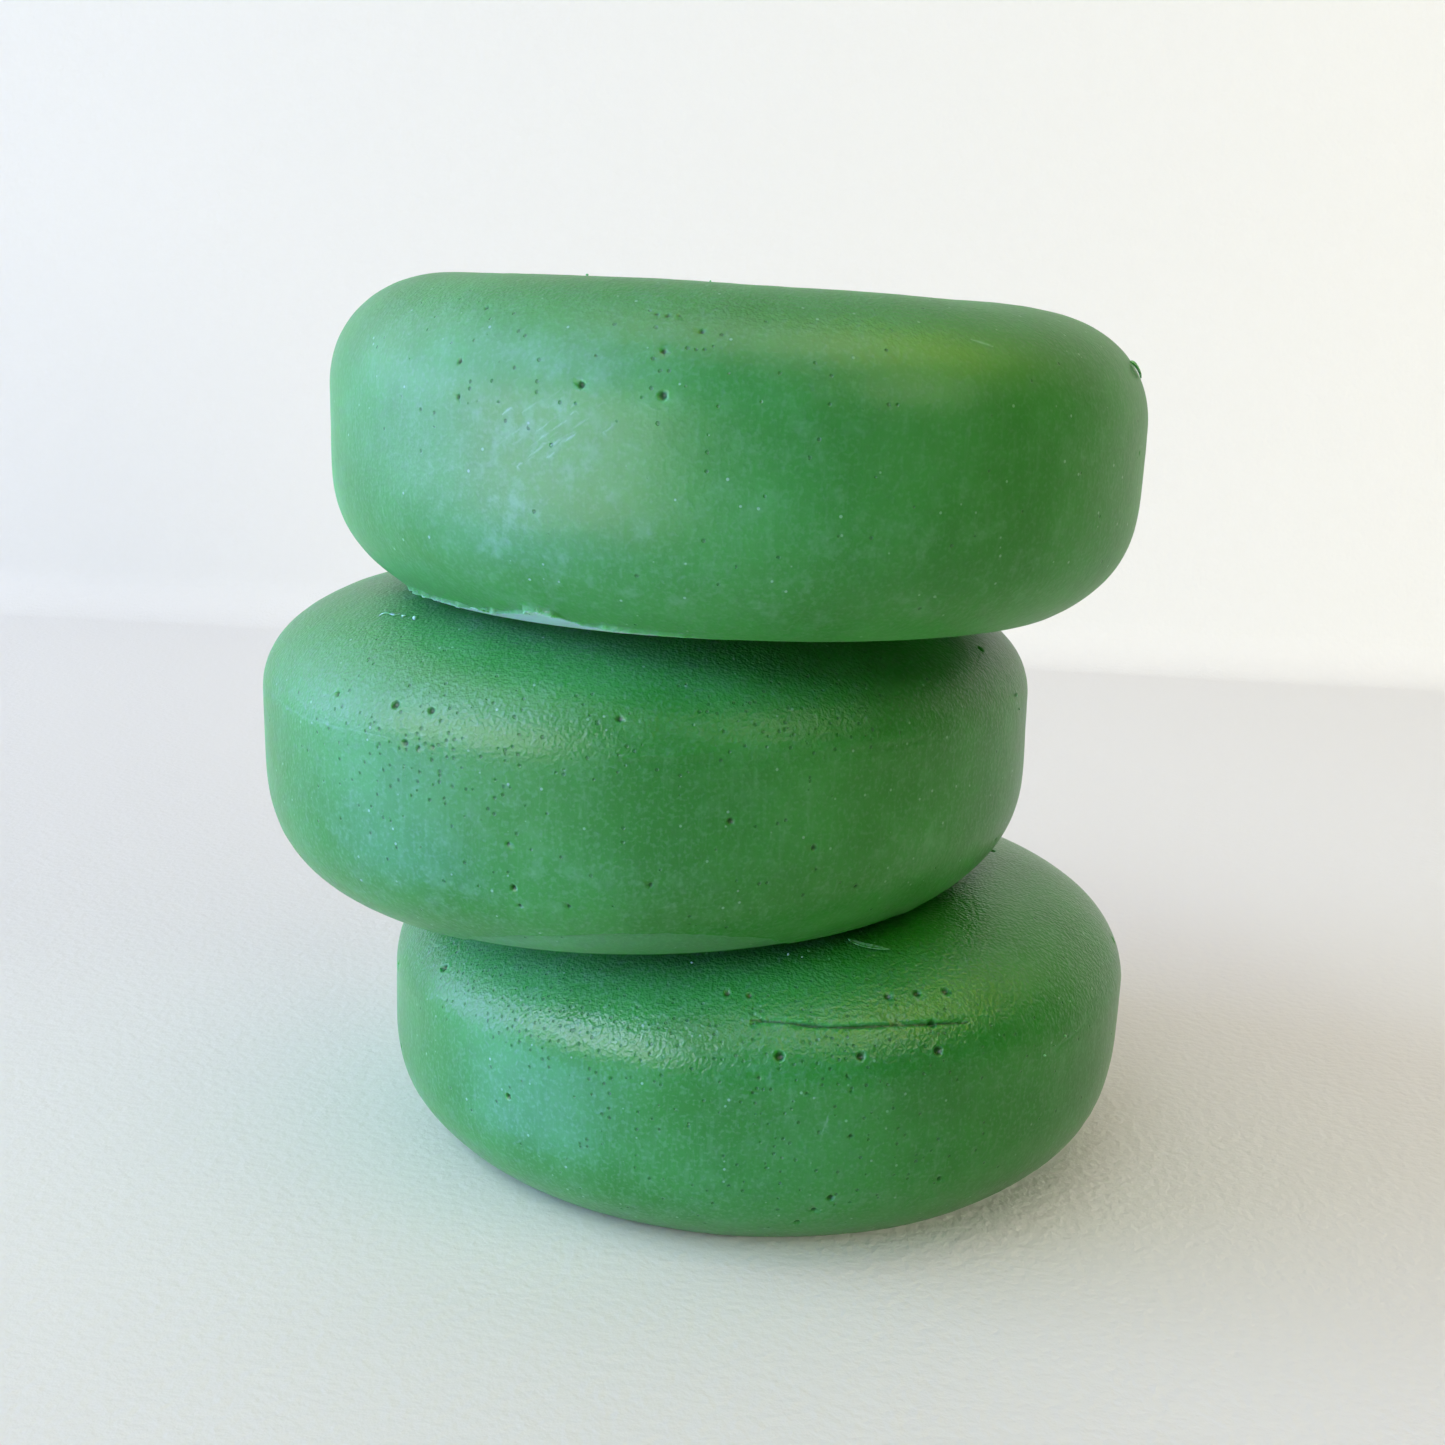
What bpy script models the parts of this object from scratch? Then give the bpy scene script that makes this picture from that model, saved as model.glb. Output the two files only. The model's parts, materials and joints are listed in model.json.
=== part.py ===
"""Three hand-poured shaving soap pucks, stacked: bottom_puck, middle_puck and top_puck.

A puck is poured into a dish-shaped mould and turned out onto its pour face, the flat face that
was the top of the pour. Its outline is turned about the puck's own axis: a fairly sharp rim
around the pour face, a flank that swells out to the full width, a short upright side, and a
broad shoulder that rounds over to a flat crown. Each puck is a little out of round and a little
thicker on one side, because it was poured and set by hand.

The pucks are loose. Each one stands on the crown of the puck below and lifts off it along its
own axis. Lengths are in metres, with +Z up. The origin is the centre of the bottom puck's pour
face, on the surface that the stack stands on.
"""

import math
from dataclasses import dataclass

import bmesh
import bpy
from mathutils import Vector

# Driving dimensions that all the pucks share: they come from one mould.
WIDTH = 0.075
RADIUS = WIDTH / 2
RIM_RADIUS = 0.412 * WIDTH
FLANK_HEIGHT = 0.174 * WIDTH
FLANK_POWER = 3.1
FLANK_TRIM = 0.70
SHOULDER_HEIGHT = 0.139 * WIDTH
SHOULDER_POWER = 2.2

# Neighbouring pucks stay this far apart, as touching faces do in a mesh model.
CONTACT_GAP = 0.0003

SEGMENTS = 64
FLANK_STEPS = 8
SHOULDER_STEPS = 8
WELD_DISTANCE = 1e-6
SHARP_ANGLE = math.radians(30)

ROUGHNESS = 0.42


@dataclass
class Puck:
    """What sets one puck apart from the others from the same mould."""

    name: str
    thickness: float
    crown_radius: float
    crown_slope: float
    out_of_round: float
    long_way: float
    shift: tuple
    colour: tuple


# shift is where the pour face's centre stands, measured from the centre of the crown below.
# crown_slope is how fast the crown rises towards +X, seen from the puck's own pour face.
# out_of_round is the share by which the radius grows towards long_way and shrinks across it.
BOTTOM = Puck(
    name="bottom_puck",
    thickness=0.0268,
    crown_radius=0.0168,
    crown_slope=0.025,
    out_of_round=0.012,
    long_way=math.radians(45),
    shift=(0.0, 0.0),
    colour=(0.045, 0.235, 0.070, 1.0),
)
MIDDLE = Puck(
    name="middle_puck",
    thickness=0.0286,
    crown_radius=0.0174,
    crown_slope=-0.015,
    out_of_round=0.034,
    long_way=math.radians(45),
    shift=(-0.0116, -0.0018),
    colour=(0.050, 0.245, 0.068, 1.0),
)
TOP = Puck(
    name="top_puck",
    thickness=0.0273,
    crown_radius=0.0252,
    crown_slope=-0.021,
    out_of_round=0.021,
    long_way=math.radians(-45),
    shift=(0.0073, -0.0058),
    colour=(0.055, 0.255, 0.066, 1.0),
)
STACK = (BOTTOM, MIDDLE, TOP)


def flank():
    """The turned outline from the rim of the pour face up to the full width, as (radius, height).

    It is the part of a superellipse quadrant that is left when its foot is trimmed off, so that
    it meets the pour face at an angle, in a rim."""

    def pull_in(drop):
        return 1 - (1 - drop**FLANK_POWER) ** (1 / FLANK_POWER)

    reach = (RADIUS - RIM_RADIUS) / pull_in(FLANK_TRIM)
    points = []
    for step in range(FLANK_STEPS + 1):
        height = FLANK_HEIGHT * step / FLANK_STEPS
        drop = FLANK_TRIM * (1 - height / FLANK_HEIGHT)
        points.append((RADIUS - reach * pull_in(drop), height))
    return points


def shoulder(puck):
    """The turned outline from the top of the side over to the edge of the crown."""
    reach = RADIUS - puck.crown_radius
    foot = puck.thickness - SHOULDER_HEIGHT
    points = []
    for step in range(SHOULDER_STEPS + 1):
        turn = math.pi / 2 * step / SHOULDER_STEPS
        across = math.cos(turn) ** (2 / SHOULDER_POWER)
        up = math.sin(turn) ** (2 / SHOULDER_POWER)
        points.append((puck.crown_radius + reach * across, foot + SHOULDER_HEIGHT * up))
    return points


def turn_outline(mesh, points):
    """Turns an open outline, which starts and ends on the axis, into one closed body."""
    verts = [mesh.verts.new((radius, 0, height)) for radius, height in points]
    edges = [mesh.edges.new(pair) for pair in zip(verts, verts[1:])]
    bmesh.ops.spin(
        mesh,
        geom=verts + edges,
        axis=(0, 0, 1),
        cent=(0, 0, 0),
        angle=math.tau,
        steps=SEGMENTS,
        use_merge=True,
    )
    bmesh.ops.remove_doubles(mesh, verts=mesh.verts, dist=WELD_DISTANCE)
    bmesh.ops.recalc_face_normals(mesh, faces=mesh.faces)


def set_by_hand(mesh, puck):
    """Makes a true disc a little out of round, and thicker towards the side that was poured deeper."""
    for vert in mesh.verts:
        around = math.atan2(vert.co.y, vert.co.x)
        stretch = 1 + puck.out_of_round * math.cos(2 * (around - puck.long_way))
        vert.co.x *= stretch
        vert.co.y *= stretch
        vert.co.z *= 1 + puck.crown_slope * vert.co.x / puck.thickness


def soap(puck):
    """Opaque satin green soap."""
    material = bpy.data.materials.new(f"soap_{puck.name}")
    material.use_nodes = True
    shader = material.node_tree.nodes["Principled BSDF"]
    shader.inputs["Base Color"].default_value = puck.colour
    shader.inputs["Roughness"].default_value = ROUGHNESS
    shader.inputs["Metallic"].default_value = 0.0
    return material


def make_puck(puck):
    """One puck, with its origin at the centre of its pour face and its axis along its own +Z."""
    outline = [(0, 0), *flank(), *shoulder(puck), (0, puck.thickness)]
    mesh = bmesh.new()
    turn_outline(mesh, outline)
    set_by_hand(mesh, puck)
    data = bpy.data.meshes.new(puck.name)
    mesh.to_mesh(data)
    mesh.free()
    data.shade_smooth()
    data.set_sharp_from_angle(angle=SHARP_ANGLE)
    data.materials.append(soap(puck))
    body = bpy.data.objects.new(puck.name, data)
    bpy.context.scene.collection.objects.link(body)
    return body


def stand_on(body, puck, below_body, below):
    """Stands a puck on the crown of the one below, which it is parented to."""
    across, along = puck.shift
    crown_point = Vector((across, along, below.thickness + below.crown_slope * across))
    crown_normal = Vector((-below.crown_slope, 0, 1)).normalized()
    body.parent = below_body
    body.location = crown_point + CONTACT_GAP * crown_normal
    body.rotation_euler = (0, -math.atan(below.crown_slope), 0)


def build():
    for old in list(bpy.data.objects):
        bpy.data.objects.remove(old)
    bodies = [make_puck(puck) for puck in STACK]
    for level in range(1, len(STACK)):
        stand_on(bodies[level], STACK[level], bodies[level - 1], STACK[level - 1])


build()
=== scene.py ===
"""The looks of a stack of three hand-poured shaving soap pucks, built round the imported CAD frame.

Each puck is one dense turned skin with its pits, creases, trimmed rim and flash modelled in the
mesh, and a translucent soap material. Loose crumbs and shavings are pieces of their own.
Lengths are in metres; MM turns the small sizes below into metres.
"""

import json
import math
from dataclasses import dataclass, field

import bmesh
import bpy
import numpy as np
from mathutils import Matrix, Vector


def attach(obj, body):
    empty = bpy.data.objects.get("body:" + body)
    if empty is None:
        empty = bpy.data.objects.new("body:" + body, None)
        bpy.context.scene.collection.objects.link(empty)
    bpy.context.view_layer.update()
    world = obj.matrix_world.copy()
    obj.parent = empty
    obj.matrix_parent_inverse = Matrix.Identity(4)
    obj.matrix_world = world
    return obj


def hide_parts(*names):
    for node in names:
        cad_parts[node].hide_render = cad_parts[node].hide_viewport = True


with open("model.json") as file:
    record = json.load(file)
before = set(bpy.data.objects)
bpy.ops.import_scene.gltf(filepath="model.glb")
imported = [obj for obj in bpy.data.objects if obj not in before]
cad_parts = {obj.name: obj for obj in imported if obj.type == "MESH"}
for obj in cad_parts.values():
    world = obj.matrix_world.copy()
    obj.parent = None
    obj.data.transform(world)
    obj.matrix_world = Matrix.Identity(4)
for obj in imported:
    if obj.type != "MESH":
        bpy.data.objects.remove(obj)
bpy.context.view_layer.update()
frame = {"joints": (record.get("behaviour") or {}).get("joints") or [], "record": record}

MM = 0.001

# The outline that the pucks share, as in the CAD: they come from one mould. RIM_ROUNDING is how
# far along the outline the pour rim's edge is rounded off.
WIDTH = 0.075
RADIUS = WIDTH / 2
RIM_RADIUS = 0.412 * WIDTH
FLANK_HEIGHT = 0.174 * WIDTH
FLANK_POWER = 3.1
FLANK_TRIM = 0.70
SHOULDER_HEIGHT = 0.139 * WIDTH
SHOULDER_POWER = 2.2
CONTACT_GAP = 0.3 * MM
RIM_ROUNDING = 0.35 * MM

# How finely the skins are meshed: the columns and rows of the plain skin, how far apart its rings
# are on the flat faces, the cuts in an edge near a small feature, and the rings beside the rim.
COLUMNS = 420
ROW_STEP = 0.5 * MM
CAP_STEP_GROWTH = 1.08
CAP_STEP_LIMIT = 1.0 * MM
FINE_CUTS = 3
RIM_ROWS = (-0.3 * MM, 0.15 * MM)

# Millimetres of skin in a radian of bearing, on the upright side.
MM_PER_RADIAN = RADIUS / MM

# The pebbles of the crown take this many mm of the outline to reach their full strength.
PEBBLES_FADE = 7.0

# How far the pour face sinks towards its middle, as the soap shrinks while it sets.
POUR_SINK = 0.22 * MM

# How uneven a skin is: the height of its waves, and the shortest, the longest and how many of them.
SWELL = 0.035 * MM
SWELL_WAVES = (9 * MM, 30 * MM, 60)
DIMPLES = 0.006 * MM
DIMPLE_WAVES = (1.6 * MM, 4 * MM, 120)
POUR_RIPPLE = 0.025 * MM
POUR_WAVES = (3 * MM, 8 * MM, 100)
RAGGED_WAVES = (0.9 * MM, 4 * MM, 60)

# How deep a burst bubble is, as a share of its radius.
PIT_DEPTH = 0.75

# Pits at random places: how many there are, and the bearings that the listed ones leave free.
SIDE_PITS = 30
SIDE_PIT_BEARINGS = (66, 294)
CROWN_PITS = 12
POUR_FACE_PITS = 34

SHAVING_SIDES = 10
SHAVING_STEPS = 28


@dataclass
class Pit:
    """A burst air bubble. bearing is in degrees from the front, positive to the right; up is the
    way along the outline from the pour rim, in mm; ring is how far the skin round it stands proud.
    radius and ring are in mm."""

    bearing: float
    up: float
    radius: float
    ring: float = 0.0


@dataclass
class Patch:
    """A soft-edged area of a puck's skin, in the units of Pit, as half extents."""

    bearing: float
    up: float
    wide: float
    high: float
    strength: float = 1.0


@dataclass
class Line:
    """A crease or scratch in the skin. path holds its (bearing, up, half width), in the units of
    Pit; depth is how deep it is, lip how far the skin above it stands proud, both in mm, and pale
    how much lighter it is than the skin."""

    # A line that isn't pale is darkened with painted shade in its groove, the more the deeper it is.
    path: list
    depth: float
    lip: float = 0.0
    pale: float = 0.0


@dataclass
class Band:
    """A strip along the pour rim, from the rim up to edge, a list of (bearing, up). lift is how
    far it stands proud, burr how far its upper edge does and ragged how uneven that edge is, in mm.
    pale is how much lighter it is than the skin."""

    edge: list
    lift: float
    burr: float
    pale: float
    ragged: float


@dataclass
class Puck:
    """What sets one puck apart from the others from the same mould. pebbly is how strong the pebbles
    of its crown are, pebbles_from how far up the outline they begin, in mm, and mottled how strong
    its fine pale mottle is. read_places sets the last three from the frame."""

    name: str
    crown_radius: float
    out_of_round: float
    long_way: float
    seed: int
    pebbly: float
    pebbles_from: float
    roughness: float
    mottled: float
    pits: list
    pinholes: list
    lines: list = field(default_factory=list)
    bands: list = field(default_factory=list)
    scuffs: list = field(default_factory=list)
    blooms: list = field(default_factory=list)
    seat: Matrix = None
    thickness: float = 0.0
    crown_slope: float = 0.0


def scuff_strokes(seed, count, bearing, up, slant):
    """Short parallel light strokes around a place, rising by slant mm for each degree."""
    rng = np.random.default_rng(seed)
    tip = 0.04
    strokes = []
    for _ in range(count):
        start = bearing + rng.normal(0, 3.6)
        foot = up + (start - bearing) * slant * 0.6 + rng.normal(0, 1.3)
        reach = rng.uniform(0.6, 2.4)
        width = rng.uniform(0.06, 0.13)
        bend = rng.normal(0, 0.08)
        path = [
            (start, foot, tip),
            (start + reach / 2, foot + reach * slant / 2 + bend, width),
            (start + reach, foot + reach * slant, tip),
        ]
        strokes.append(Line(path, depth=0.012, pale=rng.uniform(0.2, 0.6)))
    return strokes


BOTTOM = Puck(
    name="bottom_puck",
    crown_radius=16.8 * MM,
    out_of_round=0.012,
    long_way=math.radians(45),
    seed=11,
    pebbly=1.0,
    pebbles_from=18.0,
    roughness=0.22,
    mottled=1.0,
    pits=[
        Pit(3, 22.8, 0.52, ring=0.06),
        Pit(14, 22.6, 0.46, ring=0.05),
        Pit(25.4, 22.3, 0.52, ring=0.06),
        Pit(20, 27.9, 0.42),
        Pit(25, 27.8, 0.46),
        Pit(30, 27.5, 0.46),
        Pit(-5, 28.6, 0.38, ring=0.05),
        Pit(-1.6, 28.5, 0.34, ring=0.05),
        Pit(25.5, 24.7, 0.45),
        Pit(-54, 23.8, 0.50, ring=0.06),
        Pit(-35, 15.2, 0.38, ring=0.07),
        Pit(13, 15.6, 0.26),
        Pit(27, 10.2, 0.34),
        Pit(11, 9.6, 0.40),
        Pit(9, 8.2, 0.34),
        Pit(7, 6.4, 0.34),
        Pit(0.4, 21.0, 0.22),
        Pit(-0.3, 19.7, 0.20),
        Pit(12, 21.1, 0.22),
        Pit(12.6, 19.7, 0.18),
        Pit(6.7, 19.7, 0.20),
        Pit(101, 36.7, 0.60),
    ],
    pinholes=[
        Patch(-30, 24, 22, 4, 0.9),
        Patch(5, 16, 30, 10, 0.35),
        Patch(18, 26, 20, 5, 0.4),
    ],
    lines=[
        Line(
            [(-1.0, 26.0, 0.08), (1.5, 25.9, 0.12), (4, 25.8, 0.08), (7.0, 25.5, 0.18), (9.5, 25.3, 0.09),
             (13, 25.2, 0.17), (17.4, 25.1, 0.16), (19.5, 25.0, 0.08), (25, 24.7, 0.16), (31.5, 24.2, 0.06)],
            depth=0.24,
            lip=0.09,
        ),
        Line([(-1.3, 26.6, 0.07), (0.8, 26.0, 0.10)], depth=0.14),
        Line([(-1.1, 25.6, 0.07), (0.8, 25.9, 0.10)], depth=0.14),
        Line([(29.6, 24.2, 0.07), (31.4, 24.7, 0.07)], depth=0.12),
        Line([(29.6, 24.6, 0.07), (31.4, 23.9, 0.07)], depth=0.12),
        Line([(10.5, 22.8, 0.08), (13.4, 22.7, 0.14)], depth=0.05),
        Line([(46, 19.5, 0.08), (51, 19.9, 0.14), (57, 20.6, 0.08)], depth=0.05, pale=0.3),
        Line([(9, 15.9, 0.05), (9.6, 17.0, 0.14), (9.8, 17.9, 0.05)], depth=0.02, pale=0.5),
    ],
    blooms=[Patch(14, 9, 8, 3, 0.7), Patch(-25, 10, 30, 6, 0.35)],
)
MIDDLE = Puck(
    name="middle_puck",
    crown_radius=17.4 * MM,
    out_of_round=0.034,
    long_way=math.radians(45),
    seed=23,
    pebbly=0.7,
    pebbles_from=18.0,
    roughness=0.28,
    mottled=0.85,
    pits=[
        Pit(-30.5, 24.4, 0.46),
        Pit(-25, 24.4, 0.40),
        Pit(-28, 21.4, 0.36),
        Pit(-24, 21.4, 0.28),
        Pit(-26, 21.2, 0.24),
        Pit(-0.5, 24.9, 0.34),
        Pit(13.7, 16.4, 0.36),
        Pit(25.4, 13.5, 0.32),
        Pit(26, 11.5, 0.20),
        Pit(3.7, 11.1, 0.28),
        Pit(33, 9.2, 0.26),
        Pit(-13.5, 10.3, 0.34),
        Pit(-14, 14.1, 0.26),
        Pit(-13, 8.6, 0.26),
        Pit(-6.6, 8.9, 0.24),
        Pit(-41, 24.2, 0.34, ring=0.06),
    ],
    pinholes=[
        Patch(-26, 21.6, 15, 6, 1.0),
        Patch(20, 25.1, 15, 3.5, 0.8),
        Patch(10, 14.4, 40, 10, 0.06),
    ],
    lines=[
        Line([(-60, 21.9, 0.05), (-48, 21.4, 0.11), (-29, 21.7, 0.05)], depth=0.02, pale=0.28),
        Line([(0, 21.4, 0.2), (12, 21.4, 0.5), (30, 21.4, 0.5), (43, 21.6, 0.2)], depth=0.05, lip=0.04),
        Line([(28, 1.1, 0.10), (40, 1.5, 0.16), (56, 1.2, 0.10)], depth=0.10, lip=0.10),
    ],
    bands=[
        Band(
            [(-27, 0), (-23, 2.4), (-14, 4.6), (-4, 5.6), (2, 5.8), (10, 5.3), (18, 4.1), (22, 3.0),
             (28, 0)],
            lift=-0.16,
            burr=0.05,
            pale=0.28,
            ragged=0.10,
        ),
    ],
    scuffs=[Patch(44, 10.9, 6, 2, 0.9), Patch(0, 11.4, 8, 2, 0.5)],
    blooms=[Patch(-20, 8.4, 35, 6, 0.5)],
)
TOP = Puck(
    name="top_puck",
    crown_radius=25.2 * MM,
    out_of_round=0.021,
    long_way=math.radians(-45),
    seed=37,
    pebbly=0.6,
    pebbles_from=24.0,
    roughness=0.34,
    mottled=0.60,
    pits=[
        Pit(-6.8, 21.4, 0.42),
        Pit(-16.7, 21.8, 0.38, ring=0.05),
        Pit(-34.5, 22.9, 0.32),
        Pit(-34, 20.2, 0.28),
        Pit(-34, 27.8, 0.30),
        Pit(-9, 28.2, 0.22),
        Pit(-7.5, 28.1, 0.24),
        Pit(-6, 28.2, 0.20),
        Pit(-3, 26.6, 0.26),
        Pit(-7.2, 24.7, 0.30),
    ],
    pinholes=[
        Patch(-30, 22.7, 25, 7, 0.08),
        Patch(-5, 24.7, 25, 5, 0.10),
        Patch(20, 14.6, 30, 8, 0.05),
    ],
    lines=[
        Line([(31.2, 27.5, 0.05), (32.8, 27.2, 0.17), (34.6, 26.8, 0.05)], depth=0.03, pale=0.7),
        *scuff_strokes(5, 34, bearing=-21, up=18.2, slant=0.42),
    ],
    bands=[
        Band(
            [(-72, 0), (-62, 0.9), (-50, 1.2), (-40, 1.2), (-34, 1.5), (-29, 2.2), (-25.5, 2.7),
             (-22.5, 2.2), (-20, 1.3), (-13, 0.9), (-5, 0.6), (4, 0)],
            lift=0.10,
            burr=0.24,
            pale=0.95,
            ragged=0.16,
        ),
    ],
    scuffs=[Patch(-21, 17.6, 9, 6, 1.0), Patch(-28, 12.6, 6, 4, 0.5)],
    blooms=[Patch(-10, 7.6, 40, 6, 0.6), Patch(35, 9.6, 20, 5, 0.35)],
)
STACK = (BOTTOM, MIDDLE, TOP)


# --- Places from the frame ---------------------------------------------------------------


def seat_matrix(point, axis):
    """The puck's own frame: +Z along its axis, and +X level with the world's, as it was tipped."""
    up = Vector(axis).normalized()
    right = Vector((1, 0, -up.x / up.z)).normalized()
    turn = Matrix((right, up.cross(right), up)).transposed()
    return Matrix.Translation(point) @ turn.to_4x4()


def read_places():
    """Sets each puck's seat, thickness and slope from the joints and the top mount."""
    seats = {BOTTOM.name: (Vector((0, 0, 0)), Vector((0, 0, 1)))}
    for joint in frame["joints"]:
        seats[joint["child"]] = (Vector(joint["pos_m"]), Vector(joint["axis"]).normalized())
    top_face = next(m for m in frame["record"]["mounts"] if m["name"] == "top_face")
    crowns = [(point - CONTACT_GAP * axis, axis) for point, axis in (seats[p.name] for p in STACK[1:])]
    crowns.append((Vector(top_face["pos_m"]), Vector(top_face["axis"]).normalized()))
    for puck, (crown_point, crown_normal) in zip(STACK, crowns):
        puck.seat = seat_matrix(*seats[puck.name])
        inside = puck.seat.inverted()
        point = inside @ crown_point
        normal = inside.to_3x3() @ crown_normal
        puck.crown_slope = -normal.x / normal.z
        puck.thickness = point.z - puck.crown_slope * point.x


# --- The turned outline ------------------------------------------------------------------


class Outline:
    """A puck's outline as radius and height against the run along it: 0 is the pour rim, the pour
    face's centre is at run -RIM_RADIUS and the crown's centre is at run `end`."""

    def __init__(self, puck, steps=240):
        along = np.linspace(0, 1, steps)
        drop = FLANK_TRIM * (1 - along)
        pull_in = 1 - (1 - drop**FLANK_POWER) ** (1 / FLANK_POWER)
        flank_radius = RADIUS - (RADIUS - RIM_RADIUS) * pull_in / pull_in[0]
        turn = along * math.pi / 2
        reach = RADIUS - puck.crown_radius
        across = np.clip(np.cos(turn), 0, 1) ** (2 / SHOULDER_POWER)
        rise = np.sin(turn) ** (2 / SHOULDER_POWER)
        foot = puck.thickness - SHOULDER_HEIGHT
        radius = np.concatenate([[0], flank_radius, puck.crown_radius + reach * across, [0]])
        height = np.concatenate([[0], FLANK_HEIGHT * along, foot + SHOULDER_HEIGHT * rise, [puck.thickness]])
        run = np.concatenate([[0], np.cumsum(np.hypot(np.diff(radius), np.diff(height)))])
        self.run = run - run[1]
        self.radius = radius
        self.height = height
        self.end = self.run[-1]
        self.crown_edge = self.end - puck.crown_radius

    def at(self, run):
        """Radius and height at a run along the outline, with the pour rim rounded off."""
        run = np.asarray(run, float)
        ahead = np.clip(run + RIM_ROUNDING, self.run[0], self.end)
        behind = np.clip(run - RIM_ROUNDING, self.run[0], self.end)
        near_rim = np.clip(1 - np.abs(run) / (2 * RIM_ROUNDING), 0, 1)
        rounded = []
        for values in (self.radius, self.height):
            here = np.interp(run, self.run, values)
            mean = (np.interp(ahead, self.run, values) + np.interp(behind, self.run, values)) / 2
            rounded.append(here + (mean - here) * near_rim)
        return rounded


def set_by_hand(puck, radius, height, around):
    """The puck's own coordinates of points given on a true disc: out of round, and thicker to one side."""
    stretch = 1 + puck.out_of_round * np.cos(2 * (around - puck.long_way))
    x = radius * stretch * np.cos(around)
    y = radius * stretch * np.sin(around)
    return np.stack([x, y, height * (1 + puck.crown_slope * x / puck.thickness)], axis=-1)


def on_skin(puck, outline, bearing, up):
    """The point of the skin at a bearing in degrees from the front and a run in mm."""
    radius, height = outline.at(up * MM)
    return set_by_hand(puck, radius, height, math.radians(bearing) - math.pi / 2)


def rows_of(outline):
    """The runs at which the skin has a ring of points: even on the sides, wider towards the centres."""
    rows = list(np.arange(0, outline.crown_edge, ROW_STEP))
    last = rows[-1]
    rows += RIM_ROWS
    for start, stop, way in ((last, outline.end, 1), (0, outline.run[0], -1)):
        step, run = ROW_STEP, start
        while abs(stop - run) > 2 * step:
            run += way * step
            rows.append(run)
            step = min(step * CAP_STEP_GROWTH, CAP_STEP_LIMIT)
    return np.unique(rows)


# --- Skins -------------------------------------------------------------------------------


def turned_skin(puck, outline):
    """The plain skin of a puck as a bmesh, with each point's run in a float layer."""
    runs = rows_of(outline)
    mesh = bmesh.new()
    layer = mesh.verts.layers.float.new("run")
    around = np.linspace(0, math.tau, COLUMNS, endpoint=False)
    rings = []
    for run in runs:
        radius, height = outline.at(run)
        points = set_by_hand(puck, radius, height, around)
        ring = [mesh.verts.new(point) for point in points]
        for vert in ring:
            vert[layer] = run
        rings.append(ring)
    for low, high in zip(rings, rings[1:]):
        for i in range(COLUMNS):
            j = (i + 1) % COLUMNS
            mesh.faces.new((low[i], low[j], high[j], high[i]))
    for ring, run in ((rings[0], outline.run[0]), (rings[-1], outline.end)):
        radius, height = outline.at(run)
        centre = mesh.verts.new(set_by_hand(puck, 0.0, height, 0.0))
        centre[layer] = run
        for i in range(COLUMNS):
            j = (i + 1) % COLUMNS
            corners = (ring[j], ring[i], centre) if ring is rings[0] else (ring[i], ring[j], centre)
            mesh.faces.new(corners)
    return mesh


def more_pits(puck, outline):
    """Random pits where the listed ones don't reach: the back, the crown and the pour face."""
    rng = np.random.default_rng(puck.seed + 50)
    pits = []
    for _ in range(SIDE_PITS):
        bearing = rng.uniform(*SIDE_PIT_BEARINGS)
        up = rng.uniform(5, 29)
        pits.append(Pit(bearing, up, rng.uniform(0.18, 0.5), ring=rng.choice([0.0, 0.05])))
    crown = (outline.end, outline.crown_edge, CROWN_PITS)
    pour_face = (-RIM_RADIUS, 0.0, POUR_FACE_PITS)
    for centre, edge, count in (crown, pour_face):
        for _ in range(count):
            run = centre + (edge - centre) * math.sqrt(rng.uniform(0.02, 0.95))
            pits.append(Pit(rng.uniform(-180, 180), run / MM, rng.uniform(0.22, 0.6), ring=0.05))
    return pits


def steps_along(path, spacing):
    """Points every spacing mm or less along a path of tuples that begin with (bearing, up)."""
    steps = []
    for start, end in zip(path, path[1:]):
        length = math.hypot(math.radians(end[0] - start[0]) * MM_PER_RADIAN, end[1] - start[1])
        count = max(1, math.ceil(length / spacing))
        steps += [tuple(a + (b - a) * k / count for a, b in zip(start, end)) for k in range(count)]
    return steps + [path[-1]]


def fine_places(puck, outline, pits):
    """The centres and reaches of everything small enough to need a finer mesh."""
    places = [(p.bearing, p.up, 1.6 * p.radius + 0.25) for p in pits]
    for line in puck.lines:
        places += [(b, u, 2.4 * width + 0.3) for b, u, width in steps_along(line.path, 0.35)]
    for band in puck.bands:
        places += [(b, u, 0.85) for b, u in steps_along(band.edge, 0.5)]
    centres = [on_skin(puck, outline, bearing, up) for bearing, up, _ in places]
    return centres, [reach * MM for _, _, reach in places]


def refine(mesh, centres, reaches):
    """Splits the edges near some points, so that small features get enough mesh."""
    points = np.array([v.co for v in mesh.verts])
    near = np.zeros(len(points), bool)
    for centre, reach in zip(centres, reaches):
        near |= ((points - centre) ** 2).sum(axis=1) < reach**2
    mesh.verts.index_update()
    edges = [e for e in mesh.edges if near[e.verts[0].index] and near[e.verts[1].index]]
    bmesh.ops.subdivide_edges(mesh, edges=edges, cuts=FINE_CUTS, use_grid_fill=True)


def ripples(points, seed, shortest, longest, waves):
    """A smooth random field over points, of mean 0 and spread 1, from plane waves of such lengths."""
    rng = np.random.default_rng(seed)
    total = np.zeros(len(points))
    for _ in range(waves):
        heading = rng.normal(size=3)
        heading /= np.linalg.norm(heading)
        turns = points @ heading * math.tau / rng.uniform(shortest, longest)
        total += np.sin(turns + rng.uniform(0, math.tau))
    return total / math.sqrt(waves / 2)


def smooth_step(value):
    """0 below 0, 1 above 1, and smooth between."""
    share = np.clip(value, 0, 1)
    return share * share * (3 - 2 * share)


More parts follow.
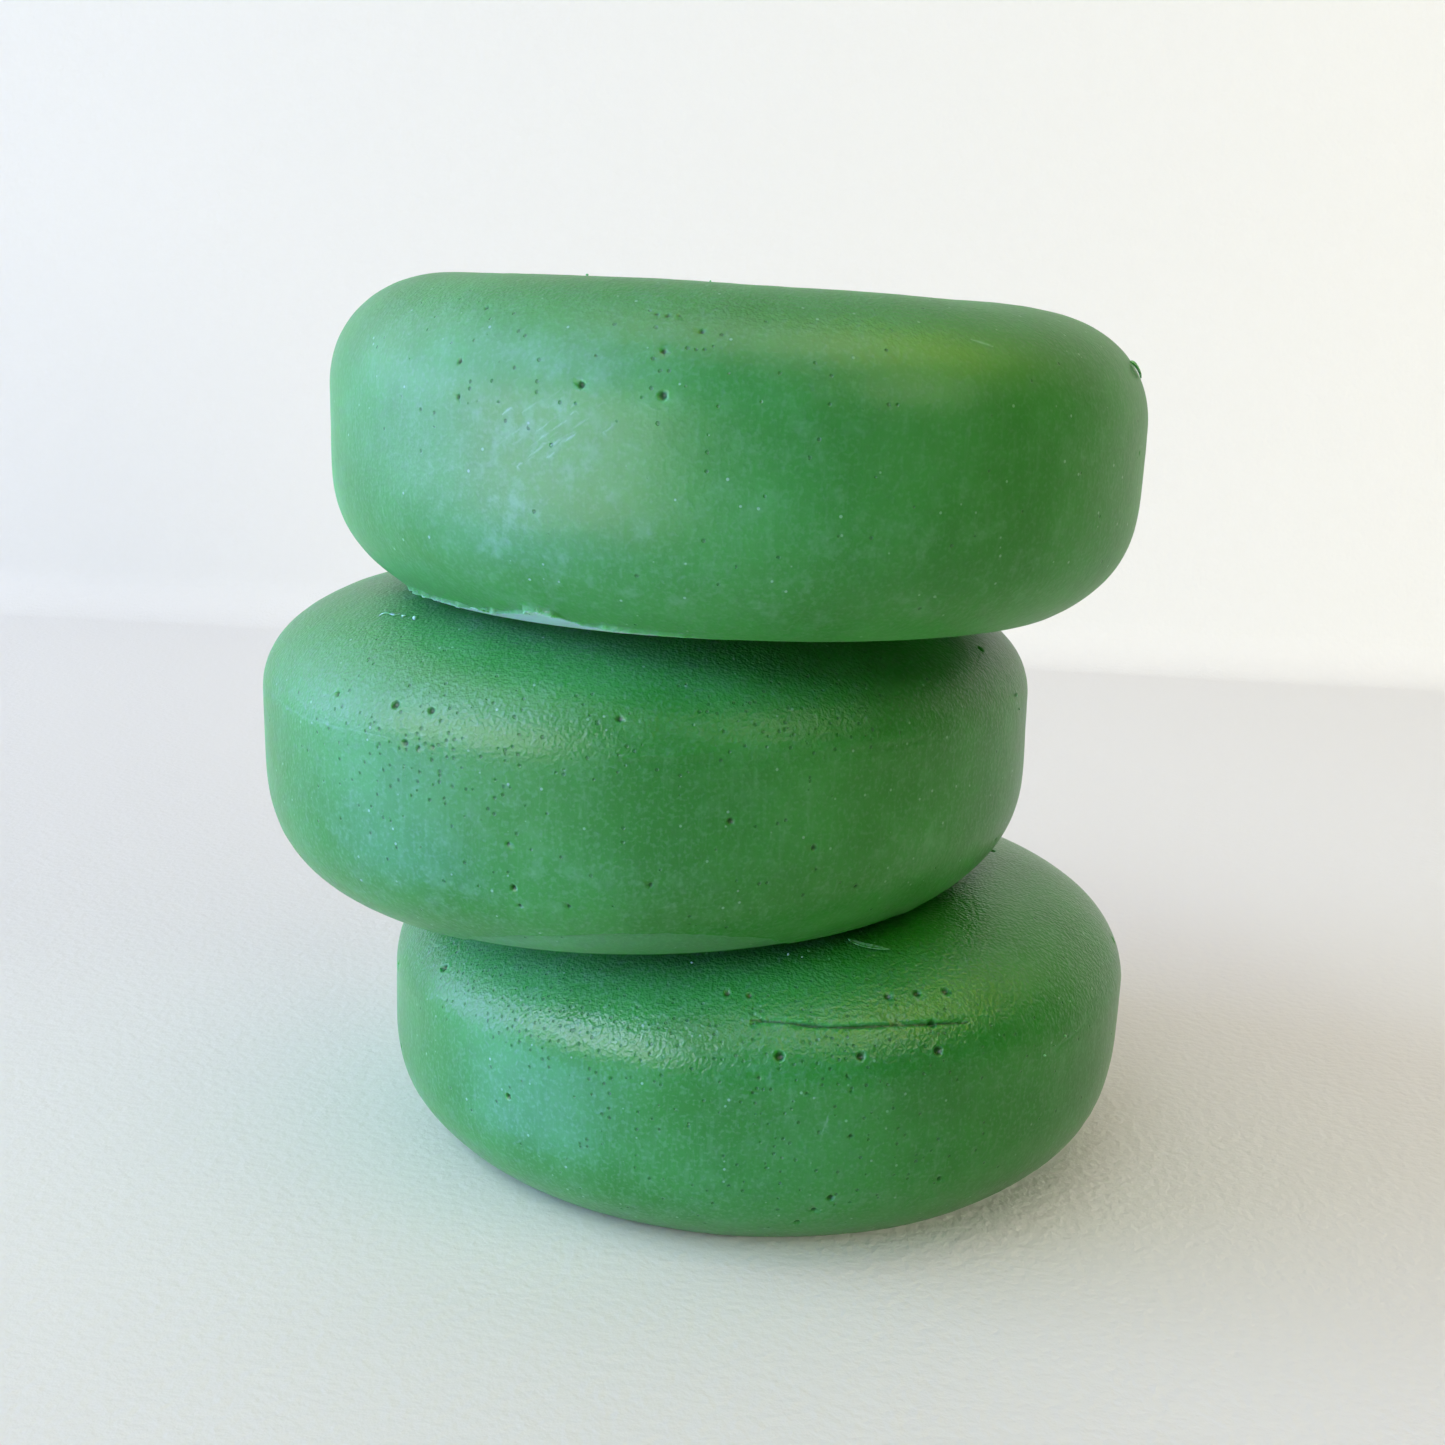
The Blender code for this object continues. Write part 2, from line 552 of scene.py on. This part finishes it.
def patches_share(patches, bearing, run):
    """How far each point is inside some soft-edged patches."""
    total = np.zeros(len(bearing))
    for patch in patches:
        aside = (bearing - patch.bearing) / patch.wide
        above = (run / MM - patch.up) / patch.high
        total += patch.strength * np.exp(-(aside**2) - above**2)
    return total


def dent_pits(puck, outline, pits, points):
    """The lift in mm that the pits give each point of the skin, and how deep inside one it is."""
    lift = np.zeros(len(points))
    inside = np.zeros(len(points))
    for pit in pits:
        centre = on_skin(puck, outline, pit.bearing, pit.up)
        share = np.linalg.norm(points - centre, axis=1) / (0.85 * pit.radius * MM)
        bowl = np.clip(1 - share**2, 0, 1) ** 0.6
        lift -= PIT_DEPTH * pit.radius * bowl
        lift += pit.ring * np.exp(-(((share - 1.25) / 0.3) ** 2))
        # inside weighs the painted shade that darkens each pit.
        inside = np.maximum(inside, bowl)
    return lift, inside


def score_lines(lines, bearing, run):
    """The lift in mm that the lines give each point, how deep inside one it is, and how pale it is."""
    lift, inside, pale = np.zeros((3, len(bearing)))
    across = np.radians(bearing) * MM_PER_RADIAN
    for line in lines:
        distance = np.full(len(bearing), np.inf)
        above = np.zeros(len(bearing))
        for start, end in zip(line.path, line.path[1:]):
            foot = math.radians(start[0]) * MM_PER_RADIAN
            step = np.array([math.radians(end[0]) * MM_PER_RADIAN - foot, end[1] - start[1]])
            aside, up = across - foot, run / MM - start[1]
            share = np.clip((aside * step[0] + up * step[1]) / (step @ step), 0, 1)
            width = start[2] + (end[2] - start[2]) * share
            here = np.hypot(aside - share * step[0], up - share * step[1]) / width
            above = np.where(here < distance, (up - share * step[1]) / width, above)
            distance = np.minimum(distance, here)
        groove = np.exp(-(distance**2))
        lift -= line.depth * groove
        lift += line.lip * np.exp(-((above - 2.2) ** 2) - np.clip(distance - np.abs(above), 0, None) ** 2)
        # inside weighs the painted shade of the dark creases: the deeper the groove, the darker it is
        # painted.
        inside = np.maximum(inside, groove * min(line.depth / 0.25, 1) * (line.pale == 0))
        pale = np.maximum(pale, line.pale * groove)
    return lift, inside, pale


def raise_bands(puck, points, bearing, run):
    """The lift in mm that the strips along the rim give each point, and how pale it is."""
    lift, pale = np.zeros((2, len(bearing)))
    ragged = ripples(points, puck.seed + 9, *RAGGED_WAVES)
    for band in puck.bands:
        angles, ups = zip(*band.edge)
        edge = np.interp(bearing, angles, ups, left=0, right=0)
        size = np.clip(edge, 0, 1)
        above = run / MM - edge - band.ragged * ragged * size
        inside = smooth_step(0.5 - above / 0.3) * size * smooth_step(run / MM / 0.4 + 1)
        crest = np.exp(-((above / 0.18) ** 2)) * size * np.clip(1 + 0.5 * ragged, 0.2, 1.8)
        lift += band.lift * inside + band.burr * crest
        pale = np.maximum(pale, band.pale * inside)
    return lift, pale


def sculpt(puck, outline, pits, mesh):
    """Moves the skin's points for everything that shows as shape, and gives the material's masks."""
    mesh.normal_update()
    layer = mesh.verts.layers.float["run"]
    points = np.array([v.co for v in mesh.verts])
    normals = np.array([v.normal for v in mesh.verts])
    run = np.array([v[layer] for v in mesh.verts])
    bearing = np.degrees(np.arctan2(points[:, 0], -points[:, 1]))
    out_along_pour_face = np.clip(1 + run / RIM_RADIUS, 0, 1)
    off_rim = np.where(run < 0, 1 - out_along_pour_face**6, np.clip(run / (1.5 * MM), 0, 1))
    pit_lift, in_pit = dent_pits(puck, outline, pits, points)
    line_lift, in_line, pale_line = score_lines(puck.lines, bearing, run)
    band_lift, pale_band = raise_bands(puck, points, bearing, run)
    lift = (pit_lift + line_lift + band_lift) * MM
    lift += SWELL * ripples(points, puck.seed, *SWELL_WAVES) * off_rim
    lift += DIMPLES * ripples(points, puck.seed + 1, *DIMPLE_WAVES) * off_rim
    lift -= POUR_SINK * off_rim * (run < 0)
    lift += POUR_RIPPLE * ripples(points, puck.seed + 2, *POUR_WAVES) * off_rim * (run < 0)
    moved = points + normals * lift[:, None]
    masks = {
        # pit says where the soap is darkened with painted shade: inside pits and dark creases.
        "pit": np.maximum(in_pit, in_line),
        "pale": np.maximum(pale_line, pale_band),
        "pinholes": patches_share(puck.pinholes, bearing, run),
        "scuff": patches_share(puck.scuffs, bearing, run),
        "bloom": patches_share(puck.blooms, bearing, run),
        "pebbly": puck.pebbly * smooth_step((run / MM - puck.pebbles_from) / PEBBLES_FADE),
    }
    return moved, masks


def make_skin(puck, outline):
    """One puck's visible skin, which stands for its CAD node."""
    mesh = turned_skin(puck, outline)
    pits = puck.pits + more_pits(puck, outline)
    refine(mesh, *fine_places(puck, outline, pits))
    moved, masks = sculpt(puck, outline, pits, mesh)
    for vert, point in zip(mesh.verts, moved):
        vert.co = point
    data = bpy.data.meshes.new(f"{puck.name}_skin")
    mesh.to_mesh(data)
    mesh.free()
    data.transform(puck.seat)
    for name, values in masks.items():
        attribute = data.attributes.new(name, "FLOAT", "POINT")
        attribute.data.foreach_set("value", values.astype(np.float32))
    data.shade_smooth()
    skin = add_piece(data, soap(puck), puck)
    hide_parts(puck.name)


def add_piece(data, material, puck):
    """Puts a mesh in the scene as a piece that rides on a puck."""
    data.materials.append(material)
    piece = bpy.data.objects.new(data.name, data)
    bpy.context.scene.collection.objects.link(piece)
    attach(piece, puck.name)
    return piece


# --- Crumbs and shavings -----------------------------------------------------------------


def skin_frame(puck, outline, bearing, up):
    """A place on the skin, with X to the right along it, Y up it and Z out of it."""
    here = Vector(on_skin(puck, outline, bearing, up))
    aside = Vector(on_skin(puck, outline, bearing + 1, up))
    above = Vector(on_skin(puck, outline, bearing, up + 0.5))
    right = (aside - here).normalized()
    out = right.cross(above - here).normalized()
    turn = Matrix((right, out.cross(right), out)).transposed().to_4x4()
    return puck.seat @ Matrix.Translation(here) @ turn


def make_crumbs(puck, outline, crumbs):
    """Loose crumbs of soap stuck to a puck. crumbs holds (bearing, up, size in mm)."""
    rng = np.random.default_rng(puck.seed + 70)
    mesh = bmesh.new()
    for bearing, up, size in crumbs:
        place = skin_frame(puck, outline, bearing, up)
        made = bmesh.ops.create_icosphere(mesh, subdivisions=2, radius=size * MM / 2)["verts"]
        shape = Vector(rng.uniform(0.7, 1.2, 3))
        phase = rng.uniform(0, math.tau, 3)
        raised = Vector((0, 0, 0.3 * size * MM))
        for vert in made:
            swell = sum(math.sin(7 * vert.co[k] / (size * MM) + phase[k]) for k in range(3))
            lump = vert.co * (1 + 0.10 * swell)
            vert.co = place @ (lump * shape + raised)
    data = bpy.data.meshes.new(f"{puck.name}_crumbs")
    mesh.to_mesh(data)
    mesh.free()
    data.shade_smooth()
    add_piece(data, shaved_soap(), puck)


def make_shaving(puck, outline, name, path, thickness):
    """A thin curl of soap, which tapers at both ends. path holds its (bearing, up, height off the
    skin, half width), and thickness is in mm."""
    along = np.linspace(0, 1, len(path))
    curve = np.polynomial.polynomial.Polynomial.fit
    fine = np.linspace(0, 1, SHAVING_STEPS)
    degree = min(3, len(path) - 1)
    bearings, ups, heights, widths = (curve(along, values, degree)(fine) for values in zip(*path))
    frames = [skin_frame(puck, outline, b, u) for b, u in zip(bearings, ups)]
    spine = [place @ Vector((0, 0, height * MM)) for place, height in zip(frames, heights)]
    mesh = bmesh.new()
    rings = []
    for k, centre in enumerate(spine):
        forward = (spine[min(k + 1, SHAVING_STEPS - 1)] - spine[max(k - 1, 0)]).normalized()
        out = frames[k].to_3x3() @ Vector((0, 0, 1))
        side = forward.cross(out).normalized()
        lift = side.cross(forward)
        taper = math.sqrt(max(1 - (2 * fine[k] - 1) ** 4, 0.02))
        width = max(widths[k], 0.04) * MM * taper
        ring = []
        for turn in np.linspace(0, math.tau, SHAVING_SIDES, endpoint=False):
            curl = 0.35 * width * math.cos(turn) ** 2
            rise = thickness * MM / 2 * taper * math.sin(turn) + curl
            ring.append(mesh.verts.new(centre + side * width * math.cos(turn) + lift * rise))
        rings.append(ring)
    for near, far in zip(rings, rings[1:]):
        for i in range(SHAVING_SIDES):
            j = (i + 1) % SHAVING_SIDES
            mesh.faces.new((near[i], near[j], far[j], far[i]))
    mesh.faces.new(rings[0][::-1])
    mesh.faces.new(rings[-1])
    bmesh.ops.recalc_face_normals(mesh, faces=mesh.faces)
    data = bpy.data.meshes.new(name)
    mesh.to_mesh(data)
    mesh.free()
    data.shade_smooth()
    add_piece(data, shaved_soap(), puck)


# Where crumbs lie, as (bearing, up, size in mm).
BOTTOM_CRUMBS = (
    (5, 33.8, 0.24),
    (7.5, 33.4, 0.20),
    (9.0, 34.3, 0.26),
    (12.5, 33.0, 0.18),
    (-12, 31.9, 0.22),
    (44.5, 19.4, 0.28),
    (46.8, 19.9, 0.22),
    (49.5, 20.3, 0.28),
    (52.5, 20.2, 0.20),
)
MIDDLE_CRUMBS = ((-43.6, 34.0, 0.38), (-40.6, 34.0, 0.44), (71.7, 22.8, 0.34), (73, 21.3, 0.24))
TOP_CRUMBS = ((-28, 37.4, 0.22), (178, 30.5, 0.30), (-4, 37.8, 0.20))

# Where shavings run, as (bearing, up, height off the skin, half width in mm).
SLIVER = (
    (17.8, 35.8, 0.25, 0.16),
    (19.3, 34.8, 0.12, 0.32),
    (22, 34.0, 0.10, 0.34),
    (24.8, 33.4, 0.14, 0.10),
)
CURL = (
    (-48.8, 33.1, 0.10, 0.12),
    (-47.6, 33.7, 0.22, 0.18),
    (-46.4, 33.8, 0.10, 0.16),
    (-45.2, 34.2, 0.15, 0.08),
)
FLASH_HAIR = (
    (-36.4, 1.2, 0.25, 0.16),
    (-37.3, 1.9, 0.45, 0.13),
    (-38.3, 2.6, 0.70, 0.07),
)
CHIP = (
    (70.6, 26.0, 0.08, 0.24),
    (71.1, 25.5, 0.24, 0.42),
    (71.6, 24.9, 0.26, 0.38),
    (71.9, 24.3, 0.16, 0.20),
)


def make_trimmings(outlines):
    """The crumbs and shavings that cling to the pucks."""
    bottom, middle, top = outlines
    make_crumbs(BOTTOM, bottom, BOTTOM_CRUMBS)
    make_crumbs(MIDDLE, middle, MIDDLE_CRUMBS)
    make_crumbs(TOP, top, TOP_CRUMBS)
    make_shaving(BOTTOM, bottom, "bottom_puck_sliver", SLIVER, thickness=0.12)
    make_shaving(MIDDLE, middle, "middle_puck_curl", CURL, thickness=0.14)
    make_shaving(TOP, top, "top_puck_flash_hair", FLASH_HAIR, thickness=0.14)
    make_shaving(TOP, top, "top_puck_chip", CHIP, thickness=0.20)


# --- Materials ---------------------------------------------------------------------------


def node(tree, kind, inputs=None, **settings):
    """Adds a shader node. inputs gives its sockets values, or links where the value is a socket."""
    made = tree.nodes.new(kind)
    for name, value in settings.items():
        setattr(made, name, value)
    for name, value in (inputs or {}).items():
        socket = made.inputs[name]
        if isinstance(value, bpy.types.NodeSocket):
            tree.links.new(value, socket)
        else:
            socket.default_value = value
    return made


def blank_material(name):
    """A new material with only a Principled shader and its output: (material, tree, shader)."""
    material = bpy.data.materials.new(name)
    material.use_nodes = True
    tree = material.node_tree
    shader = tree.nodes["Principled BSDF"]
    return material, tree, shader


def object_place(tree):
    """Places in the object's own coordinates, in metres."""
    return tree.nodes.new("ShaderNodeTexCoord").outputs["Object"]


def mask(tree, name):
    """A mask that make_skin stored on the skin."""
    return node(tree, "ShaderNodeAttribute", attribute_name=name).outputs["Fac"]


def compute(tree, operation, first, second):
    """The Math node's result of one operation on two values or sockets."""
    return node(tree, "ShaderNodeMath", {0: first, 1: second}, operation=operation).outputs[0]


def ramp(tree, value, low, high, start=0.0, end=1.0):
    """Takes a value smoothly from start, at low, to end, at high."""
    inputs = {"Value": value, "From Min": low, "From Max": high, "To Min": start, "To Max": end}
    return node(tree, "ShaderNodeMapRange", inputs, interpolation_type="SMOOTHSTEP").outputs["Result"]


def noise(tree, place, size, detail=2.0, roughness=0.5):
    """Noise whose lumps are about size metres across."""
    inputs = {"Vector": place, "Scale": 1 / size, "Detail": detail, "Roughness": roughness}
    return node(tree, "ShaderNodeTexNoise", inputs).outputs["Fac"]


def stretched(tree, place, scale):
    """A place scaled by a different number along each axis."""
    return node(tree, "ShaderNodeMapping", {"Vector": place, "Scale": scale}).outputs["Vector"]


def dots(tree, place, spacing, radius, share):
    """Round dots in cells of such a spacing, in that share of the cells."""
    cells = node(tree, "ShaderNodeTexVoronoi", {"Vector": place, "Scale": 1 / spacing})
    chance = node(tree, "ShaderNodeSeparateColor", {"Color": cells.outputs["Color"]}).outputs["Red"]
    picked = compute(tree, "LESS_THAN", chance, share)
    edge = radius / spacing
    return compute(tree, "MULTIPLY", ramp(tree, cells.outputs["Distance"], edge, 0.55 * edge), picked)


# The sockets of a Mix node that mixes colours, which share their names with its other sockets.
MIX_SHARE = 0
MIX_FIRST = 6
MIX_SECOND = 7
MIX_RESULT = 2


def mix(tree, share, first, second):
    """A colour that goes from first to second as share goes from 0 to 1."""
    inputs = {MIX_SHARE: share, MIX_FIRST: first, MIX_SECOND: second}
    return node(tree, "ShaderNodeMix", inputs, data_type="RGBA").outputs[MIX_RESULT]


def paint_over(tree, colour, *layers):
    """A colour with others laid over it in turn, given as (share, colour) pairs."""
    for share, over in layers:
        colour = mix(tree, share, colour, over)
    return colour


def weigh(tree, *terms):
    """The sum of some values times their weights, given as (value, weight) pairs."""
    total = 0.0
    for value, weight in terms:
        inputs = {0: value, 1: weight, 2: total}
        total = node(tree, "ShaderNodeMath", inputs, operation="MULTIPLY_ADD").outputs[0]
    return total


def bump(tree, shader, height, strength=1.0):
    """Gives a shader the fine relief of a height in mm."""
    inputs = {"Height": height, "Distance": MM, "Strength": strength}
    relief = node(tree, "ShaderNodeBump", inputs)
    tree.links.new(relief.outputs["Normal"], shader.inputs["Normal"])


def scatter_light(shader, reach, tint):
    """Lets light into a shader's surface and out again up to reach away, in the tint's shares."""
    shader.inputs["Subsurface Weight"].default_value = 1.0
    shader.inputs["Subsurface Radius"].default_value = tint
    shader.inputs["Subsurface Scale"].default_value = reach


DEEP_GREEN = (0.035, 0.222, 0.026, 1)
LIGHT_GREEN = (0.054, 0.282, 0.046, 1)
# The next green is painted shade: the dark laid into pits, dark creases, pinholes and bubble holes.
PAINTED_SHADE_GREEN = (0.008, 0.098, 0.016, 1)
CLOUDY_GREEN = (0.148, 0.370, 0.156, 1)
CHALKY_GREEN = (0.330, 0.560, 0.380, 1)
SPECK_GREEN = (0.340, 0.560, 0.360, 1)


def soap(puck):
    """Satin, slightly translucent green soap: cloudy, mottled with bloom and specked with bubbles, with
    painted shade darkening its pits, creases, pinholes and bubble holes.
    """
    material, tree, shader = blank_material(f"soap_{puck.name}")
    place = object_place(tree)
    clouds = noise(tree, place, 14 * MM, 3.0)
    mottle = noise(tree, place, 1.9 * MM, 4.0, 0.62)
    grain = noise(tree, place, 0.36 * MM, 1.0)
    pebbles = compute(tree, "MULTIPLY", grain, weigh(tree, (mask(tree, "pebbly"), 0.85), (0.15, 1.0)))
    lumps = noise(tree, place, 0.95 * MM, 2.0)
    strokes = noise(tree, stretched(tree, place, (1, 1, 0.16)), 0.55 * MM, 3.0, 0.6)
    share = compute(tree, "MULTIPLY", mask(tree, "pinholes"), 0.75)
    pinholes = dots(tree, place, 0.62 * MM, 0.19 * MM, share)
    bubbles = dots(tree, place, 2.9 * MM, 0.18 * MM, 0.25)
    specks = dots(tree, place, 1.25 * MM, 0.16 * MM, 0.34)

    bloom = ramp(tree, mask(tree, "bloom"), 0.0, 1.0, 0.18, 0.56)
    bloomed = compute(tree, "MULTIPLY", ramp(tree, mottle, 0.47, 0.72), bloom)
    scuffed = compute(tree, "MULTIPLY", mask(tree, "scuff"), ramp(tree, mottle, 0.42, 0.74, 0.05, 0.26))
    colour = paint_over(
        tree,
        mix(tree, ramp(tree, clouds, 0.3, 0.7), DEEP_GREEN, LIGHT_GREEN),
        (bloomed, CLOUDY_GREEN),
        (ramp(tree, strokes, 0.48, 0.80, 0.0, 0.30 * puck.mottled), CLOUDY_GREEN),
        (ramp(tree, grain, 0.46, 0.76, 0.0, 0.40 * puck.mottled), CLOUDY_GREEN),
        (scuffed, CHALKY_GREEN),
        (compute(tree, "MULTIPLY", specks, 0.55), SPECK_GREEN),
        # Painted shade: the dark green layers below darken the pinholes, bubble holes, pits and creases; the
        # pale layer among them is the own colour of the flash and trimmed soap.
        (compute(tree, "MULTIPLY", pinholes, 0.60), PAINTED_SHADE_GREEN),
        (compute(tree, "MULTIPLY", bubbles, 0.70), PAINTED_SHADE_GREEN),
        (ramp(tree, mask(tree, "pale"), 0.0, 1.0, 0.0, 0.85), CHALKY_GREEN),
        (ramp(tree, mask(tree, "pit"), 0.15, 0.9, 0.0, 0.9), PAINTED_SHADE_GREEN),
    )
    tree.links.new(colour, shader.inputs["Base Color"])

    rough = weigh(
        tree,
        (clouds, 0.10),
        (mottle, 0.10),
        (scuffed, 0.15),
        (mask(tree, "pale"), 0.15),
        (puck.roughness, 1.0),
    )
    tree.links.new(rough, shader.inputs["Roughness"])
    shader.inputs["Specular IOR Level"].default_value = 0.28
    scatter_light(shader, 3 * MM, (0.25, 1.0, 0.25))

    height = weigh(
        tree,
        (pebbles, 0.14),
        (lumps, 0.04),
        (strokes, 0.006),
        (pinholes, -0.09),
        (bubbles, -0.14),
        (specks, 0.02),
    )
    bump(tree, shader, height)
    return material


def shaved_soap():
    """The paler, drier soap of crumbs and shavings."""
    material, tree, shader = blank_material("shaved_soap")
    place = object_place(tree)
    mottle = noise(tree, place, 0.4 * MM, 3.0)
    colour = mix(tree, ramp(tree, mottle, 0.35, 0.65), LIGHT_GREEN, CHALKY_GREEN)
    tree.links.new(colour, shader.inputs["Base Color"])
    tree.links.new(ramp(tree, mottle, 0.3, 0.7, 0.45, 0.62), shader.inputs["Roughness"])
    scatter_light(shader, 0.5 * MM, (0.4, 1.0, 0.4))
    bump(tree, shader, compute(tree, "MULTIPLY", noise(tree, place, 0.2 * MM, 3.0), 0.04))
    return material


def paper_white():
    """The pale matt floor and wall, with a fine leathery grain."""
    material, tree, shader = blank_material("paper_white")
    place = object_place(tree)
    grain = noise(tree, place, 1.1 * MM, 3.0, 0.55)
    shader.inputs["Base Color"].default_value = (0.80, 0.80, 0.80, 1)
    shader.inputs["Roughness"].default_value = 0.6
    shader.inputs["Specular IOR Level"].default_value = 0.3
    bump(tree, shader, compute(tree, "MULTIPLY", grain, 0.22), strength=0.6)
    return material


# --- Stage, camera and lights ------------------------------------------------------------

WALL_BEHIND = 0.264
COVE_RADIUS = 0.012
COVE_STEPS = 12
STAGE_HALF_WIDTH = 1.1
STAGE_FRONT = -1.1
STAGE_TOP = 1.5

CAMERA_LENS = 42.06
CAMERA_PLACE = (-0.0015, -0.1691, 0.0792)
CAMERA_YAW = math.radians(-1.206)
CAMERA_PITCH = math.radians(12.95)
CAMERA_ROLL = math.radians(2.842)

# The pale grey seen past the edge of the stage. It lights nothing.
BACKGROUND = (0.80, 0.81, 0.82, 1)

# The lights stand round the middle of the stack, and face it.
STACK_MIDDLE = Vector((-0.004, -0.004, 0.042))


@dataclass
class Light:
    """A soft light. Its azimuth, from the front, and elevation are in degrees, its size and its
    distance from the middle of the stack in metres, and its power in watts. A glossy light shows
    only in reflections, and the others only as diffuse light. One that is through_floor stands
    below the floor, which doesn't shade it."""

    name: str
    azimuth: float
    elevation: float
    size: tuple
    power: float
    colour: tuple
    glossy: bool = False
    distance: float = 0.55
    through_floor: bool = False


STAGE_LIGHTS = (
    Light("stage_left", -100, 10, (2.00, 0.60), 41.0, (0.46, 0.58, 1.00), distance=1.40),
    Light("stage_right", 60, 10, (2.00, 0.60), 25.3, (1.00, 0.94, 0.74), distance=1.40),
    Light("stage_window", -60, 45, (2.00, 0.60), 12.9, (0.84, 1.00, 0.97), distance=1.40),
    Light("stage_top", 0, 85, (2.00, 0.60), 2.6, (1.00, 0.40, 0.20), distance=1.40),
)
SOAP_LIGHTS = (
    Light("soap_window", -62, 12, (0.34, 0.34), 11.00, (0.28, 0.32, 1.00)),
    Light("soap_front", 0, 45, (0.60, 0.34), 1.30, (0.30, 1.00, 0.08)),
    Light("sheen_left", -88, 6, (0.30, 0.26), 3.10, (0.46, 0.45, 1.00), glossy=True),
    Light("sheen_low", -65, -24, (0.40, 0.30), 2.20, (0.25, 0.50, 1.00), glossy=True, through_floor=True),
    Light("sheen_window", -38, 12, (0.09, 0.05), 0.125, (0.95, 0.90, 0.95), glossy=True, distance=0.109),
    Light("sheen_back", -116, 30, (0.34, 0.34), 1.40, (0.65, 0.50, 1.00), glossy=True),
    Light("sheen_high", -62, 36, (0.40, 0.24), 4.10, (0.52, 0.58, 1.00), glossy=True),
    Light("sheen_right", 42, 33, (0.08, 0.04), 0.100, (1.00, 0.95, 0.72), glossy=True, distance=0.20),
    Light("sheen_warm", 76, 61, (0.30, 0.30), 1.65, (0.95, 1.00, 0.10), glossy=True),
    Light("sheen_crown", -20, 76, (0.60, 0.34), 3.30, (0.97, 0.94, 0.92), glossy=True),
)


def make_stage():
    """A pale floor that runs up into a wall behind the stack through a small cove."""
    profile = [(STAGE_FRONT, 0)]
    for step in range(COVE_STEPS + 1):
        turn = math.pi / 2 * step / COVE_STEPS
        back = WALL_BEHIND - COVE_RADIUS * (1 - math.sin(turn))
        profile.append((back, COVE_RADIUS * (1 - math.cos(turn))))
    profile.append((WALL_BEHIND, STAGE_TOP))
    mesh = bmesh.new()
    ends = (-STAGE_HALF_WIDTH, STAGE_HALF_WIDTH)
    sides = [[mesh.verts.new((x, y, z)) for y, z in profile] for x in ends]
    for i in range(len(profile) - 1):
        mesh.faces.new((sides[0][i], sides[1][i], sides[1][i + 1], sides[0][i + 1]))
    data = bpy.data.meshes.new("stage")
    mesh.to_mesh(data)
    mesh.free()
    data.shade_smooth()
    data.materials.append(paper_white())
    sweep = bpy.data.objects.new("stage", data)
    bpy.context.scene.collection.objects.link(sweep)
    return sweep


def make_camera():
    """Looks slightly down at the stack, a little rolled."""
    data = bpy.data.cameras.new("camera")
    data.lens = CAMERA_LENS
    data.clip_start = 0.01
    camera = bpy.data.objects.new("camera", data)
    bpy.context.scene.collection.objects.link(camera)
    turn = (
        Matrix.Rotation(-CAMERA_YAW, 4, "Z")
        @ Matrix.Rotation(math.pi / 2 - CAMERA_PITCH, 4, "X")
        @ Matrix.Rotation(CAMERA_ROLL, 4, "Z")
    )
    camera.matrix_world = Matrix.Translation(CAMERA_PLACE) @ turn
    bpy.context.scene.camera = camera


def make_light(light, linked):
    """One of the lights, which shines on what a collection holds and isn't seen itself."""
    data = bpy.data.lights.new(light.name, "AREA")
    data.shape = "RECTANGLE"
    data.size, data.size_y = light.size
    data.energy = light.power
    data.color = light.colour
    azimuth, elevation = math.radians(light.azimuth), math.radians(light.elevation)
    level = math.cos(elevation)
    away = Vector((level * math.sin(azimuth), -level * math.cos(azimuth), math.sin(elevation)))
    lamp = bpy.data.objects.new(light.name, data)
    lamp.location = STACK_MIDDLE + light.distance * away
    lamp.rotation_euler = (-away).to_track_quat("-Z", "Y").to_euler()
    lamp.visible_camera = False
    lamp.visible_diffuse = not light.glossy
    lamp.visible_glossy = light.glossy
    lamp.light_linking.receiver_collection = linked
    if light.through_floor:
        lamp.light_linking.blocker_collection = linked
    bpy.context.scene.collection.objects.link(lamp)


def linked_to(name, sweep, state):
    """A light-linking collection that holds the stage, to include it or to leave it out."""
    linked = bpy.data.collections.new(name)
    linked.objects.link(sweep)
    linked.collection_objects[0].light_linking.link_state = state
    return linked


def light_the_room(sweep):
    """Lights the stage and the soap apart, and puts a plain pale grey past the stage."""
    on_stage = linked_to("lit_stage", sweep, "INCLUDE")
    off_stage = linked_to("lit_soap", sweep, "EXCLUDE")
    for light in STAGE_LIGHTS:
        make_light(light, on_stage)
    for light in SOAP_LIGHTS:
        make_light(light, off_stage)
    world = bpy.data.worlds.new("room")
    bpy.context.scene.world = world
    world.use_nodes = True
    world.node_tree.nodes["Background"].inputs["Color"].default_value = BACKGROUND
    for way in ("diffuse", "glossy", "transmission", "scatter"):
        setattr(world.cycles_visibility, way, False)
    bpy.context.scene.view_settings.view_transform = "Standard"


read_places()
make_camera()
outlines = [Outline(puck) for puck in STACK]
for puck, outline in zip(STACK, outlines):
    make_skin(puck, outline)
make_trimmings(outlines)
light_the_room(make_stage())
